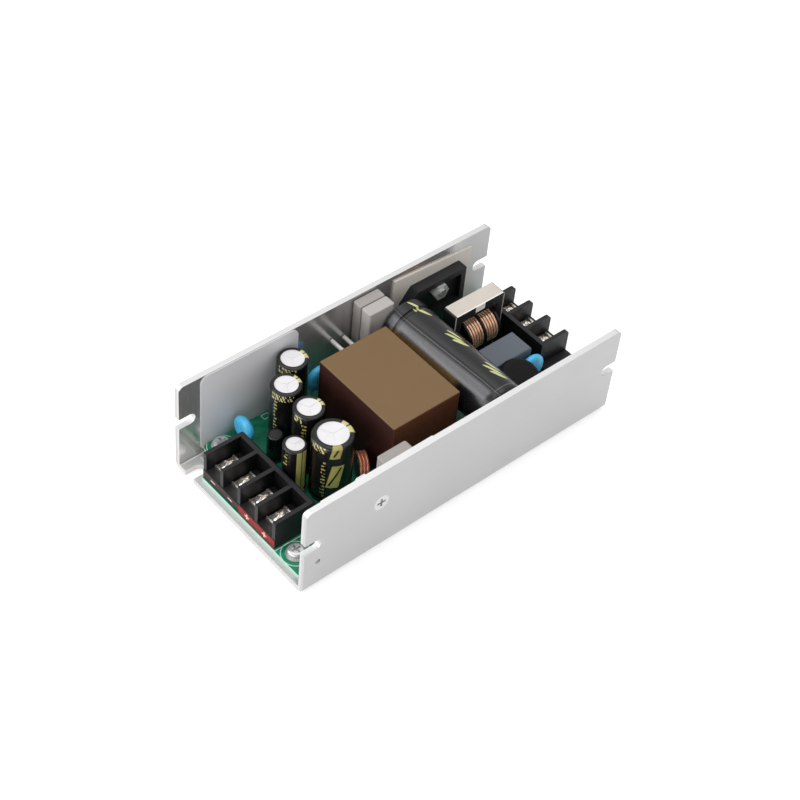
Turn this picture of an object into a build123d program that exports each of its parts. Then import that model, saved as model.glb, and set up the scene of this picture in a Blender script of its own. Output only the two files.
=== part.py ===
from build123d import *
import os
from math import cos, radians, sin

# Open power supply on a folded aluminium chassis.
# Millimetres, +Z up. The origin is at the middle of the chassis floor's underside.
# The output terminals are at -X, the input terminals at +X, the near wall is at -Y and the far wall at +Y.
# The output parts keep their place from the output block, the input parts from the input block,
# and the transformer fills the room between them.

os.makedirs("parts", exist_ok=True)

# Chassis
chassis_length = 127.0
chassis_width = 63.5
chassis_height = 36.0
sheet = 2.0
inner_bend = 0.6
outer_bend = inner_bend + sheet
wall_corner_round = 1.8
slot_width = 4.2
slot_depth = 6.2
slot_height = 20.2
notch_width = 4.2
notch_depth = 5.8
notch_inset = 7.25
pin_hole_radius = 0.9
pin_hole_end_gap = 5.3
pin_hole_height = 11.9
wall_inner = chassis_width / 2 - sheet
chassis_end = chassis_length / 2

# Clearances
seat_gap = 0.3
fit_gap = 0.05

# Metric screws
screw_radius = 1.5
board_screw_length = 6.0
pan_head_radius = 2.75
pan_head_height = 2.0
pan_head_round = 0.9
washer_radius = 3.3
washer_thickness = 0.4
recess_width = 0.8
recess_depth = 1.0
recess_length = 3.2
flush_head_radius = 2.9
clamp_screw_length = 10.0
rectifier_screw_length = 8.0
nut_flats = 5.5
nut_height = 2.4

# Terminal blocks
pole_pitch = 8.5
block_wall = 1.4
block_end_gap = 1.0
clamp_width = 6.2
clamp_thickness = 0.6
clamp_wing_height = 1.5
clamp_wing_lean = 0.4
contact_thickness = 0.6
terminal_head_radius = 2.6
clamp_length = 2 * (terminal_head_radius + clamp_thickness + fit_gap)
terminal_head_round = 0.7
terminal_screw_reach = 3.0

output_poles = 4
output_centre = 0.8
output_depth = 15.1
output_back_wall = 2.2
output_top = 17.3
output_lip = 10.0
output_screw_inset = 6.0
output_head_height = 1.9
output_front = -chassis_end + block_end_gap
output_back = output_front + output_depth
output_screw_x = output_front + output_screw_inset
output_width = output_poles * pole_pitch + block_wall
label_height = 3.4
label_thickness = 0.15

input_poles = 3
input_centre = 1.7
input_end_gap = 0.9
input_depth = 12.2
input_back_wall = 1.6
input_top = 20.8
input_lip = 13.7
input_screw_inset = 6.2
input_head_height = 1.9
input_ear_width = 3.1
input_ear_height = 12.0
input_front = chassis_end - input_end_gap
input_back = input_front - input_depth
input_screw_x = input_front - input_screw_inset
input_width = input_poles * pole_pitch + block_wall
fin_corner_round = 1.5

# Board, cut back over the floor notches, and what holds it
board_end_gap = 0.5
board_side_gap = 0.75
board_length = chassis_length - 2 * board_end_gap
board_width = 2 * (wall_inner - board_side_gap)
board_thickness = 1.6
board_corner_round = 3.0
cutback_clearance = 2.3
cutback_block_gap = 0.1
cutback_round = 1.5
cutback_depth = notch_depth + cutback_clearance - board_end_gap
cutback_start = output_centre + output_width / 2 + cutback_block_gap
standoff_height = 2.4
standoff_radius = 3.0
standoff_shank_radius = 2.1
board_bottom = sheet + standoff_height
board_top = board_bottom + board_thickness
insulator_thickness = 0.3
insulator_margin = 1.2
insulator_hole_gap = 0.5

# Board screws: one pair beside the blocks, one pair near the board's long edges
corner_screw_end_gap = 4.6
corner_screw_block_gap = 5.2
side_screw_end_gap = 12.5
side_screw_edge_gap = 3.6
corner_screw_x = board_length / 2 - corner_screw_end_gap
corner_screw_y = output_width / 2 - output_centre + corner_screw_block_gap
side_screw_x = board_length / 2 - side_screw_end_gap
side_screw_y = board_width / 2 - side_screw_edge_gap
board_screw_places = (
    (-corner_screw_x, -corner_screw_y),
    (-side_screw_x, side_screw_y),
    (corner_screw_x, corner_screw_y),
    (side_screw_x, -side_screw_y),
)

# Electrolytic capacitors that stand on the board:
# name, distance behind the output block, distance from the far wall, diameter, height,
# True where the top has vent grooves
upright_capacitors = (
    ("output_capacitor_1", 22.7, 5.95, 10.2, 25.0, True),
    ("output_capacitor_2", 14.3, 13.55, 10.2, 25.0, True),
    ("output_capacitor_3", 14.0, 25.05, 10.2, 25.0, True),
    ("main_output_capacitor", 13.1, 37.75, 13.3, 25.0, True),
    ("small_output_capacitor", 4.3, 30.85, 7.8, 20.0, True),
    ("mini_capacitor", 7.3, 17.85, 5.4, 11.0, False),
)
sleeve_thickness = 0.2
sleeve_opening_share = 0.74
shoulder_share = 0.12
bead_height = 2.2
bead_depth = 0.35
bead_width = 1.6
vent_groove_count = 3
vent_groove_width = 0.3
vent_groove_depth = 0.15
vent_reach_share = 0.85

# Common-mode choke
choke_block_gap = 0.3
choke_width = 21.3
choke_near = 7.5
choke_thickness = 5.9
choke_top = 30.2
choke_bottom = 14.0
choke_side_bar = 2.75
choke_top_bar = 3.6
choke_low_bar = 5.4
choke_corner_round = 0.6
choke_east = input_back - choke_block_gap
choke_west = choke_east - choke_width
tape_thickness = 0.12
tape_tab_width = 4.0
tape_tab_drop = 2.3
winding_radius = 6.2
winding_wire = 1.1
winding_turns = 5
bobbin_length = 13.4
bobbin_tube_wall = 0.5
bobbin_flange = 0.8
bobbin_flange_radius = 6.6
bobbin_foot_height = 3.0

# Bulk capacitor, lying across the board beside the choke
bulk_diameter = 18.0
bulk_choke_gap = 2.3
bulk_underside = 16.0
bulk_near_gap = 1.25
bulk_far_gap = 9.65
bulk_bead_inset = 4.5
bulk_bead_depth = 0.9
bulk_end_round = 1.6
bulk_sleeve_thickness = 0.25
bulk_sleeve_near_lap = 0.65
bulk_sleeve_far_lap = 1.3
bung_rim = 0.5
bung_thickness = 2.5
bung_inset = 0.4
bulk_lead_pitch = 5.0
bulk_lead_radius = 0.4
bulk_lead_bend = 1.2
bulk_lead_reach = 2.4
bulk_radius = bulk_diameter / 2
bulk_sleeve_near_opening = bulk_radius - bulk_sleeve_thickness - bulk_end_round - bulk_sleeve_near_lap
bulk_sleeve_far_opening = bulk_radius - bulk_sleeve_far_lap
bung_radius = bulk_sleeve_far_opening - bung_rim
bulk_x = choke_west - bulk_choke_gap - bulk_radius
bulk_z = bulk_underside + bulk_radius
bulk_near_end = -wall_inner + bulk_near_gap
bulk_far_end = wall_inner - bulk_far_gap

# Transformer, in the room between the output capacitors and the bulk capacitor
transformer_block_gap = 27.2
transformer_bulk_gap = 2.0
transformer_near_gap = 10.6
transformer_far_gap = 13.35
transformer_top = 33.0
transformer_bottom = 9.0
transformer_round = 0.5
transformer_west = output_back + transformer_block_gap
transformer_east = bulk_x - bulk_radius - transformer_bulk_gap
transformer_near = -wall_inner + transformer_near_gap
transformer_far = wall_inner - transformer_far_gap
bobbin_inset = 1.5
bobbin_floor = 1.2
transformer_pin_count = 6
transformer_pin_end_gap = 2.8
transformer_pin_radius = 0.45
transformer_pin_inset = 3.0
lead_out_radius = 0.72
# Sleeved lead-outs: share of the transformer's length from its east face, height
lead_outs = ((0.393, 21.8), (0.202, 20.6))

# Parts near the input
box_capacitor_block_gap = 4.3
box_capacitor_length = 15.4
box_capacitor_near = -11.0
box_capacitor_far = -1.7
box_capacitor_top = 22.0
box_capacitor_round = 0.6
box_capacitor_east = input_back - box_capacitor_block_gap
box_capacitor_west = box_capacitor_east - box_capacitor_length
disc_lead_radius = 0.3
disc_lead_pitch = 5.0
disc_round = 1.2
thermistor_radius = 7.3
thermistor_thickness = 5.0
thermistor_round = 2.2
thermistor_tilt = 20.0
thermistor_block_gap = 16.1
thermistor_box_gap = 7.1
thermistor_height = 20.3
thermistor_x = input_back - thermistor_block_gap
thermistor_y = box_capacitor_near - thermistor_box_gap

# Blue discs
disc_thickness = 3.2
output_disc_block_gap = 3.8
output_disc_wall_gap = 6.15
middle_disc_inset = 5.6
middle_disc_wall_gap = 7.15
input_disc_block_gap = 5.5
input_disc_box_gap = 2.2
output_disc_x = output_back + output_disc_block_gap
output_disc_y = wall_inner - output_disc_wall_gap
middle_disc_x = transformer_west + middle_disc_inset
middle_disc_y = wall_inner - middle_disc_wall_gap
input_disc_x = input_back - input_disc_block_gap
input_disc_y = box_capacitor_near - input_disc_box_gap
# Name, X, Y, centre height, radius, True where the disc faces X
blue_discs = (
    ("y_capacitor_1", output_disc_x, output_disc_y, 12.8, 5.0, True),
    ("y_capacitor_2", middle_disc_x, middle_disc_y, 17.0, 4.8, False),
    ("y_capacitor_3", input_disc_x, input_disc_y, 15.4, 5.0, False),
)

# Output inductor: a coil of thick wire on a rod core, lying beside the transformer's corner
coil_radius = 4.7
coil_wire_radius = 0.5
coil_pitch = 1.05
coil_turns = 3
coil_rod_overhang = 0.2
coil_heading = -27.0
coil_height = 12.0
coil_transformer_gap = 3.9
coil_wall_gap = 40.55
coil_x = transformer_west - coil_transformer_gap
coil_y = wall_inner - coil_wall_gap

# Sheets on the walls
wall_sheet_thickness = 0.3
wall_sheet_corner_round = 3.0
wall_sheet_bottom = sheet + inner_bend + seat_gap
far_sheet_end_gap = 8.1
far_sheet_overlap = 2.2
near_sheet_end_gap = 6.7
near_sheet_overlap = 5.8
far_sheet_west = -chassis_end + far_sheet_end_gap
far_sheet_east = transformer_west + far_sheet_overlap
near_sheet_west = -chassis_end + near_sheet_end_gap
near_sheet_east = transformer_west + near_sheet_overlap

# Bridge rectifier on the far wall, over a pad that sits slightly askew
rectifier_block_gap = 0.9
rectifier_width = 25.5
rectifier_bottom = 11.0
rectifier_top = 28.3
rectifier_thickness = 4.0
rectifier_chamfer_x = 4.3
rectifier_chamfer_z = 5.6
rectifier_rim = 2.0
rectifier_recess = 1.6
rectifier_ledge_bottom = 13.0
rectifier_ledge_height = 2.6
rectifier_leads = 4
rectifier_lead_pitch = 5.5
rectifier_lead_width = 1.2
rectifier_lead_thickness = 0.8
rectifier_screw_inset = 11.1
rectifier_screw_height = 23.4
rectifier_east = input_back - rectifier_block_gap
rectifier_west = rectifier_east - rectifier_width
rectifier_screw_place = (rectifier_east - rectifier_screw_inset, rectifier_screw_height)
pad_west_margin = 3.7
pad_east_margin = 5.0
pad_top = 32.65
pad_bottom = 9.3
pad_thickness = 0.6
pad_tilt = -3.9
pad_west = rectifier_west - pad_west_margin
pad_east = rectifier_east + pad_east_margin

# Clamp that holds the capped device on the near wall
clamp_screw_block_gap = 12.7
clamp_screw_height = 21.8
clamp_strip_thickness = 0.8
clamp_strip_height = 7.0
clamp_leg_gap = 4.8
clamp_finger_reach = 9.7
clamp_screw_place = (output_back + clamp_screw_block_gap, clamp_screw_height)

# Silicone caps over power devices: two stand one behind the other at the far wall, one at the near wall
device_cap_width = 10.2
device_cap_bulk_offset = 8.6
device_cap_depth = 3.85
second_cap_depth = 4.4
near_cap_width = 11.1
near_cap_offset = 8.25
near_cap_wall_gap = 0.6
near_cap_depth = 4.25
first_cap_far = wall_inner - seat_gap
first_cap_near = first_cap_far - device_cap_depth
second_cap_far = first_cap_near - seat_gap
near_cap_low = -wall_inner + near_cap_wall_gap
# Name, middle X, width, lowest Y, highest Y, top
device_caps = (
    ("device_cap_1", bulk_x - device_cap_bulk_offset, device_cap_width, first_cap_near, first_cap_far, 35.0),
    (
        "device_cap_2",
        bulk_x - device_cap_bulk_offset,
        device_cap_width,
        second_cap_far - second_cap_depth,
        second_cap_far,
        35.0,
    ),
    (
        "device_cap_3",
        clamp_screw_place[0] + near_cap_offset,
        near_cap_width,
        near_cap_low,
        near_cap_low + near_cap_depth,
        34.3,
    ),
)
device_cap_bottom = 12.0
device_cap_round = 0.7
device_lead_pitch = 2.54
device_lead_width = 0.8
device_lead_thickness = 0.4


def finish(builder, label):
    """Label a finished piece and write its file."""
    builder.part.label = label
    export_step(builder.part, f"parts/{label}.step")


def add_cross_recess(centre, top, length, width, depth):
    """Cut a cross recess into the head of a screw that points down."""
    with BuildSketch(Plane((centre[0], centre[1], top))) as cross:
        Rectangle(length, width)
        Rectangle(width, length)
    extrude(cross.sketch, amount=-depth, mode=Mode.SUBTRACT)


# Chassis: a folded channel with slotted walls
near_face = Plane((0, -chassis_width / 2, 0), x_dir=(1, 0, 0), z_dir=(0, -1, 0))
far_face = Plane((0, chassis_width / 2, 0), x_dir=(-1, 0, 0), z_dir=(0, 1, 0))
rectifier_screw_seat = (-rectifier_screw_place[0], rectifier_screw_place[1])
with BuildPart() as chassis:
    with BuildSketch(Plane.YZ) as channel:
        Rectangle(chassis_width, chassis_height, align=(Align.CENTER, Align.MIN))
        with Locations((0, sheet)):
            Rectangle(
                chassis_width - 2 * sheet,
                chassis_height,
                align=(Align.CENTER, Align.MIN),
                mode=Mode.SUBTRACT,
            )
        fillet(channel.vertices().group_by(Axis.Y)[1], inner_bend)
        fillet(channel.vertices().group_by(Axis.Y)[0], outer_bend)
    extrude(amount=chassis_end, both=True)
    fillet(chassis.edges().filter_by(Axis.Y).group_by(Axis.Z)[-1], wall_corner_round)
    with BuildSketch(Plane.XZ):
        with Locations((-chassis_end, slot_height), (chassis_end, slot_height)):
            SlotCenterToCenter(2 * slot_depth - slot_width, slot_width)
    extrude(amount=chassis_width, both=True, mode=Mode.SUBTRACT)
    with BuildSketch(Plane.XY):
        notch_y = chassis_width / 2 - notch_inset
        with Locations((-chassis_end, notch_y), (chassis_end, -notch_y)):
            SlotCenterToCenter(2 * notch_depth - notch_width, notch_width)
    extrude(amount=sheet, mode=Mode.SUBTRACT)
    with BuildSketch(Plane.XY):
        with Locations(*board_screw_places):
            Circle(standoff_shank_radius + fit_gap)
    extrude(amount=sheet, mode=Mode.SUBTRACT)
    with Locations(near_face):
        with Locations((-chassis_end + pin_hole_end_gap, pin_hole_height)):
            Hole(pin_hole_radius, depth=sheet)
        with Locations(clamp_screw_place):
            CounterSinkHole(
                screw_radius + fit_gap,
                flush_head_radius + fit_gap,
                depth=sheet,
                counter_sink_angle=90,
            )
    with Locations(far_face):
        with Locations(rectifier_screw_seat):
            CounterSinkHole(
                screw_radius + fit_gap,
                flush_head_radius + fit_gap,
                depth=sheet,
                counter_sink_angle=90,
            )
finish(chassis, "chassis")

# Standoffs pressed into the floor
board_screw_bottom = board_top + washer_thickness - board_screw_length
with BuildPart() as board_standoffs:
    with BuildSketch(Plane.XY):
        with Locations(*board_screw_places):
            Circle(standoff_shank_radius)
    extrude(amount=sheet)
    with BuildSketch(Plane.XY.offset(sheet)):
        with Locations(*board_screw_places):
            Circle(standoff_radius)
    extrude(amount=standoff_height)
    with BuildSketch(Plane.XY.offset(board_screw_bottom - fit_gap)):
        with Locations(*board_screw_places):
            Circle(screw_radius + fit_gap)
    extrude(amount=board_bottom - board_screw_bottom + fit_gap, mode=Mode.SUBTRACT)
finish(board_standoffs, "board_standoffs")

# Insulating film on the floor
with BuildPart() as bottom_insulator:
    with BuildSketch(Plane.XY.offset(sheet)):
        film_length = chassis_length - 2 * (notch_depth + insulator_margin)
        Rectangle(film_length, 2 * (wall_inner - insulator_margin))
        with Locations(*board_screw_places):
            Circle(standoff_radius + insulator_hole_gap, mode=Mode.SUBTRACT)
    extrude(amount=insulator_thickness)
finish(bottom_insulator, "bottom_insulator")

# Circuit board: two opposite corners are cut back, so that the floor notches stay open
with BuildPart() as circuit_board:
    with BuildSketch(Plane.XY.offset(board_bottom)) as board_outline:
        Rectangle(board_length, board_width)
        for end in (-1, 1):
            with Locations((end * board_length / 2, -end * (cutback_start + board_width / 2) / 2)):
                Rectangle(2 * cutback_depth, board_width / 2 - cutback_start, mode=Mode.SUBTRACT)
        corners = board_outline.vertices().sort_by(Axis.X)
        cutback_x = board_length / 2 - cutback_depth
        inner_corners = [v for v in corners if abs(abs(v.X) - cutback_x) < fit_gap]
        edge_corners = [v for v in corners if abs(abs(v.Y) - board_width / 2) < fit_gap]
        outer_corners = [v for v in edge_corners if v not in inner_corners]
        fillet(inner_corners, cutback_round)
        fillet(outer_corners, board_corner_round)
        with Locations(*board_screw_places):
            Circle(screw_radius + fit_gap, mode=Mode.SUBTRACT)
    extrude(amount=board_thickness)
finish(circuit_board, "circuit_board")

# Board screws, each with its washer
washer_top = board_top + washer_thickness
with BuildPart() as board_screws:
    with BuildSketch(Plane.XY.offset(board_screw_bottom)):
        with Locations(*board_screw_places):
            Circle(screw_radius)
    extrude(amount=board_screw_length)
    with BuildSketch(Plane.XY.offset(washer_top)):
        with Locations(*board_screw_places):
            Circle(pan_head_radius)
    extrude(amount=pan_head_height)
    fillet(board_screws.edges().filter_by(GeomType.CIRCLE).group_by(Axis.Z)[-1], pan_head_round)
    for place in board_screw_places:
        add_cross_recess(place, washer_top + pan_head_height, recess_length, recess_width, recess_depth)
    with BuildSketch(Plane.XY.offset(board_top)):
        with Locations(*board_screw_places):
            Circle(washer_radius)
            Circle(screw_radius, mode=Mode.SUBTRACT)
    extrude(amount=washer_thickness)
finish(board_screws, "board_screws")


def pole_rows(count, centre):
    """Return the Y places of the poles of a terminal block."""
    return [centre + (index - (count - 1) / 2) * pole_pitch for index in range(count)]


def terminal_metal(prefix, screw_x, poles, floor, head_height):
    """Make the fixed contacts, winged clamp plates and screws of one terminal block."""
    places = [(screw_x, y) for y in poles]
    clamp_bottom = floor + contact_thickness
    clamp_top = clamp_bottom + clamp_thickness
    half = clamp_length / 2
    wing = half + clamp_wing_lean
    with BuildPart() as contacts:
        with BuildSketch(Plane.XY.offset(floor)):
            with Locations(*places):
                Rectangle(clamp_length, clamp_width)
                Circle(screw_radius + fit_gap, mode=Mode.SUBTRACT)
        extrude(amount=contact_thickness)
    finish(contacts, f"{prefix}_contacts")
    with BuildPart() as clamps:
        for y in poles:
            clamp_side = (screw_x, y + clamp_width / 2, clamp_bottom)
            with BuildSketch(Plane(clamp_side, x_dir=(1, 0, 0), z_dir=(0, -1, 0))) as profile:
                with BuildLine():
                    Polyline(
                        (-half, 0),
                        (half, 0),
                        (wing, clamp_wing_height),
                        (wing - clamp_thickness, clamp_wing_height),
                        (half - clamp_thickness, clamp_thickness),
                        (clamp_thickness - half, clamp_thickness),
                        (clamp_thickness - wing, clamp_wing_height),
                        (-wing, clamp_wing_height),
                        close=True,
                    )
                make_face()
            extrude(profile.sketch, amount=clamp_width)
        with BuildSketch(Plane.XY.offset(clamp_bottom)):
            with Locations(*places):
                Circle(screw_radius + fit_gap)
        extrude(amount=clamp_thickness, mode=Mode.SUBTRACT)
    finish(clamps, f"{prefix}_clamps")
    with BuildPart() as screws:
        with BuildSketch(Plane.XY.offset(floor - terminal_screw_reach)):
            with Locations(*places):
                Circle(screw_radius)
        extrude(amount=clamp_top - floor + terminal_screw_reach)
        with BuildSketch(Plane.XY.offset(clamp_top)):
            with Locations(*places):
                Circle(terminal_head_radius)
        extrude(amount=head_height)
        fillet(screws.edges().filter_by(GeomType.CIRCLE).group_by(Axis.Z)[-1], terminal_head_round)
        for place in places:
            head_top = clamp_top + head_height
            add_cross_recess(place, head_top, 2 * terminal_head_radius, recess_width, recess_depth)
    finish(screws, f"{prefix}_screws")


# Output terminal block: four boxes open at the top and in front, closed at the back
output_rows = pole_rows(output_poles, output_centre)
with BuildPart() as output_block_body:
    with BuildSketch(Plane.XY.offset(board_top)):
        with Locations(((output_front + output_back) / 2, output_centre)):
            Rectangle(output_depth, output_width)
    extrude(amount=output_top - board_top)
    with BuildSketch(Plane.XY.offset(output_lip)):
        with Locations(*[(output_front, y) for y in output_rows]):
            Rectangle(
                output_depth - output_back_wall,
                pole_pitch - block_wall,
                align=(Align.MIN, Align.CENTER),
            )
    extrude(amount=output_top - output_lip, mode=Mode.SUBTRACT)
    with BuildSketch(Plane.XY.offset(output_lip)):
        with Locations(*[(output_screw_x, y) for y in output_rows]):
            Circle(screw_radius + fit_gap)
    extrude(amount=-terminal_screw_reach, mode=Mode.SUBTRACT)
    back_edges = output_block_body.edges().filter_by(Axis.Y).group_by(Axis.X)[-1]
    chamfer(back_edges.sort_by(Axis.Z)[-1], block_wall / 2)
finish(output_block_body, "output_block_body")
terminal_metal("output_block", output_screw_x, output_rows, output_lip, output_head_height)

# Coloured strips on the front of the output block, each along half of it
label_bottom = (board_top + output_lip - label_height) / 2
label_length = output_width / 2
for label, side in (("negative_label", 1), ("positive_label", -1)):
    with BuildPart() as strip:
        with BuildSketch(Plane.XY.offset(label_bottom)):
            with Locations((output_front - label_thickness / 2, output_centre + side * label_length / 2)):
                Rectangle(label_thickness, label_length)
        extrude(amount=label_height)
    finish(strip, label)

# Input terminal block: four fins on a ledge, open at the top and in front, with an ear at the near end
input_rows = pole_rows(input_poles, input_centre)
with BuildPart() as input_block_body:
    with BuildSketch(Plane.XY.offset(board_top)):
        with Locations(((input_front + input_back) / 2, input_centre)):
            Rectangle(input_depth, input_width)
    extrude(amount=input_top - board_top)
    with BuildSketch(Plane.XY.offset(input_lip)):
        with Locations(*[(input_front, y) for y in input_rows]):
            Rectangle(
                input_depth - input_back_wall,
                pole_pitch - block_wall,
                align=(Align.MAX, Align.CENTER),
            )
    extrude(amount=input_top - input_lip, mode=Mode.SUBTRACT)
    front_edges = input_block_body.edges().filter_by(Axis.Y).group_by(Axis.X)[-1]
    fillet(front_edges.group_by(Axis.Z)[-1], fin_corner_round)
    with BuildSketch(Plane.XY.offset(board_top)):
        with Locations(((input_front + input_back) / 2, input_centre - (input_width + input_ear_width) / 2)):
            Rectangle(input_depth, input_ear_width)
    extrude(amount=input_ear_height - board_top)
    with BuildSketch(Plane.XY.offset(input_lip)):
        with Locations(*[(input_screw_x, y) for y in input_rows]):
            Circle(screw_radius + fit_gap)
    extrude(amount=-terminal_screw_reach, mode=Mode.SUBTRACT)
finish(input_block_body, "input_block_body")
terminal_metal("input_block", input_screw_x, input_rows, input_lip, input_head_height)


def upright_capacitor(name, x, y, diameter, height, has_grooves):
    """Make one electrolytic capacitor that stands on the board: a beaded can in a shrunk sleeve."""
    outer = diameter / 2
    top = board_top + height
    can_radius = outer - sleeve_thickness
    can_top = top - sleeve_thickness
    shoulder = outer * shoulder_share
    sleeve_shoulder = shoulder + sleeve_thickness
    shoulder_z = can_top - shoulder
    opening = outer * sleeve_opening_share
    bead_low = board_top + bead_height - bead_width / 2
    bead_high = bead_low + bead_width
    bead_middle = (bead_low + bead_high) / 2
    can_waist = can_radius - bead_depth
    middle = Plane((x, y, 0), x_dir=(1, 0, 0), z_dir=(0, -1, 0))
    upright = Axis((x, y, 0), (0, 0, 1))
    with BuildPart() as can:
        with BuildSketch(middle):
            with BuildLine():
                Polyline((0, board_top), (can_radius, board_top), (can_radius, bead_low))
                ThreePointArc((can_radius, bead_low), (can_waist, bead_middle), (can_radius, bead_high))
                Line((can_radius, bead_high), (can_radius, shoulder_z))
                RadiusArc((can_radius, shoulder_z), (can_radius - shoulder, can_top), -shoulder)
                Polyline((can_radius - shoulder, can_top), (0, can_top), (0, board_top))
            make_face()
        revolve(axis=upright)
        if has_grooves:
            with BuildSketch(Plane((x, y, can_top))) as grooves:
                with PolarLocations(0, vent_groove_count):
                    Rectangle(opening * vent_reach_share, vent_groove_width, align=(Align.MIN, Align.CENTER))
            extrude(grooves.sketch, amount=-vent_groove_depth, mode=Mode.SUBTRACT)
    finish(can, f"{name}_can")
    with BuildPart() as sleeve:
        with BuildSketch(middle):
            with BuildLine():
                Line((can_radius, board_top), (can_radius, bead_low))
                ThreePointArc((can_radius, bead_low), (can_waist, bead_middle), (can_radius, bead_high))
                Line((can_radius, bead_high), (can_radius, shoulder_z))
                RadiusArc((can_radius, shoulder_z), (can_radius - shoulder, can_top), -shoulder)
                Polyline((can_radius - shoulder, can_top), (opening, can_top), (opening, top))
                Line((opening, top), (outer - sleeve_shoulder, top))
                RadiusArc((outer - sleeve_shoulder, top), (outer, shoulder_z), sleeve_shoulder)
                Line((outer, shoulder_z), (outer, bead_high))
                ThreePointArc((outer, bead_high), (outer - bead_depth, bead_middle), (outer, bead_low))
                Polyline((outer, bead_low), (outer, board_top), (can_radius, board_top))
            make_face()
        revolve(axis=upright)
    finish(sleeve, f"{name}_sleeve")


for name, behind_block, from_far_wall, diameter, height, has_grooves in upright_capacitors:
    capacitor_x = output_back + behind_block
    capacitor_y = wall_inner - from_far_wall
    upright_capacitor(name, capacitor_x, capacitor_y, diameter, height, has_grooves)

# Bulk capacitor: a beaded can on its side, closed by a bung at the far end
bulk_can_radius = bulk_radius - bulk_sleeve_thickness
bulk_can_far = bulk_far_end - bulk_sleeve_thickness
bulk_can_near = bulk_near_end + bulk_sleeve_thickness
bulk_bead = bulk_far_end - bulk_bead_inset
bulk_bead_far = bulk_bead + bulk_bead_depth
bulk_bead_near = bulk_bead - bulk_bead_depth
bulk_plane = Plane((bulk_x, 0, bulk_z), x_dir=(0, 1, 0), z_dir=(1, 0, 0))
bulk_axis = Axis((bulk_x, 0, bulk_z), (0, 1, 0))
bung_far = bulk_can_far - bung_inset
bung_near = bung_far - bung_thickness
can_round_start = bulk_can_near + bulk_end_round
can_round_end = bulk_can_radius - bulk_end_round


def beaded_edge(radius):
    """Draw the bead's groove in the outer line of the bulk can or of its sleeve."""
    ThreePointArc((bulk_bead_far, radius), (bulk_bead, radius - bulk_bead_depth), (bulk_bead_near, radius))


with BuildPart() as bulk_capacitor_can:
    with BuildSketch(bulk_plane):
        with BuildLine():
            Polyline(
                (bulk_can_near, 0),
                (bung_near, 0),
                (bung_near, bung_radius),
                (bulk_can_far, bung_radius),
                (bulk_can_far, bulk_can_radius),
                (bulk_bead_far, bulk_can_radius),
            )
            beaded_edge(bulk_can_radius)
            Line((bulk_bead_near, bulk_can_radius), (can_round_start, bulk_can_radius))
            RadiusArc((can_round_start, bulk_can_radius), (bulk_can_near, can_round_end), -bulk_end_round)
            Line((bulk_can_near, can_round_end), (bulk_can_near, 0))
        make_face()
    revolve(axis=bulk_axis)
finish(bulk_capacitor_can, "bulk_capacitor_can")

with BuildPart() as bulk_capacitor_sleeve:
    with BuildSketch(bulk_plane):
        outer_round = bulk_end_round + bulk_sleeve_thickness
        outer_round_start = bulk_near_end + outer_round
        outer_round_end = bulk_radius - outer_round
        with BuildLine():
            Polyline(
                (bulk_far_end, bulk_sleeve_far_opening),
                (bulk_far_end, bulk_radius),
                (bulk_bead_far, bulk_radius),
            )
            beaded_edge(bulk_radius)
            Line((bulk_bead_near, bulk_radius), (outer_round_start, bulk_radius))
            RadiusArc((outer_round_start, bulk_radius), (bulk_near_end, outer_round_end), -outer_round)
            Polyline(
                (bulk_near_end, outer_round_end),
                (bulk_near_end, bulk_sleeve_near_opening),
                (bulk_can_near, bulk_sleeve_near_opening),
                (bulk_can_near, can_round_end),
            )
            RadiusArc((bulk_can_near, can_round_end), (can_round_start, bulk_can_radius), bulk_end_round)
            Line((can_round_start, bulk_can_radius), (bulk_bead_near, bulk_can_radius))
            beaded_edge(bulk_can_radius)
            Polyline(
                (bulk_bead_far, bulk_can_radius),
                (bulk_can_far, bulk_can_radius),
                (bulk_can_far, bulk_sleeve_far_opening),
                (bulk_far_end, bulk_sleeve_far_opening),
            )
        make_face()
    revolve(axis=bulk_axis)
finish(bulk_capacitor_sleeve, "bulk_capacitor_sleeve")

with BuildPart() as bulk_capacitor_bung:
    with BuildSketch(Plane((bulk_x, bung_near, bulk_z), x_dir=(-1, 0, 0), z_dir=(0, 1, 0))):
        Circle(bung_radius)
    extrude(amount=bung_thickness)
finish(bulk_capacitor_bung, "bulk_capacitor_bung")

with BuildPart() as bulk_capacitor_leads:
    for side in (-1, 1):
        lead_x = bulk_x + side * bulk_lead_pitch / 2
        with BuildLine() as lead_path:
            FilletPolyline(
                (lead_x, bung_far, bulk_z),
                (lead_x, bung_far + bulk_lead_reach, bulk_z),
                (lead_x, bung_far + bulk_lead_reach, board_top),
                radius=bulk_lead_bend,
            )
        with BuildSketch(Plane((lead_x, bung_far, bulk_z), x_dir=(1, 0, 0), z_dir=(0, 1, 0))):
            Circle(bulk_lead_radius)
        sweep(path=lead_path.line)
finish(bulk_capacitor_leads, "bulk_capacitor_leads")

# Transformer: a wrapped block on a moulded bobbin foot with two rows of pins
transformer_x = (transformer_west + transformer_east) / 2
transformer_y = (transformer_near + transformer_far) / 2
transformer_size_x = transformer_east - transformer_west
transformer_size_y = transformer_far - transformer_near
with BuildPart() as transformer:
    with BuildSketch(Plane((transformer_x, transformer_y, transformer_bottom))):
        Rectangle(transformer_size_x, transformer_size_y)
    extrude(amount=transformer_top - transformer_bottom)
    fillet(transformer.edges(), transformer_round)
finish(transformer, "transformer")

pin_top = transformer_bottom - bobbin_floor
with BuildPart() as transformer_bobbin:
    with BuildSketch(Plane((transformer_x, transformer_y, pin_top))):
        Rectangle(transformer_size_x - 2 * bobbin_inset, transformer_size_y - 2 * bobbin_inset)
    extrude(amount=bobbin_floor)
finish(transformer_bobbin, "transformer_bobbin")

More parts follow.
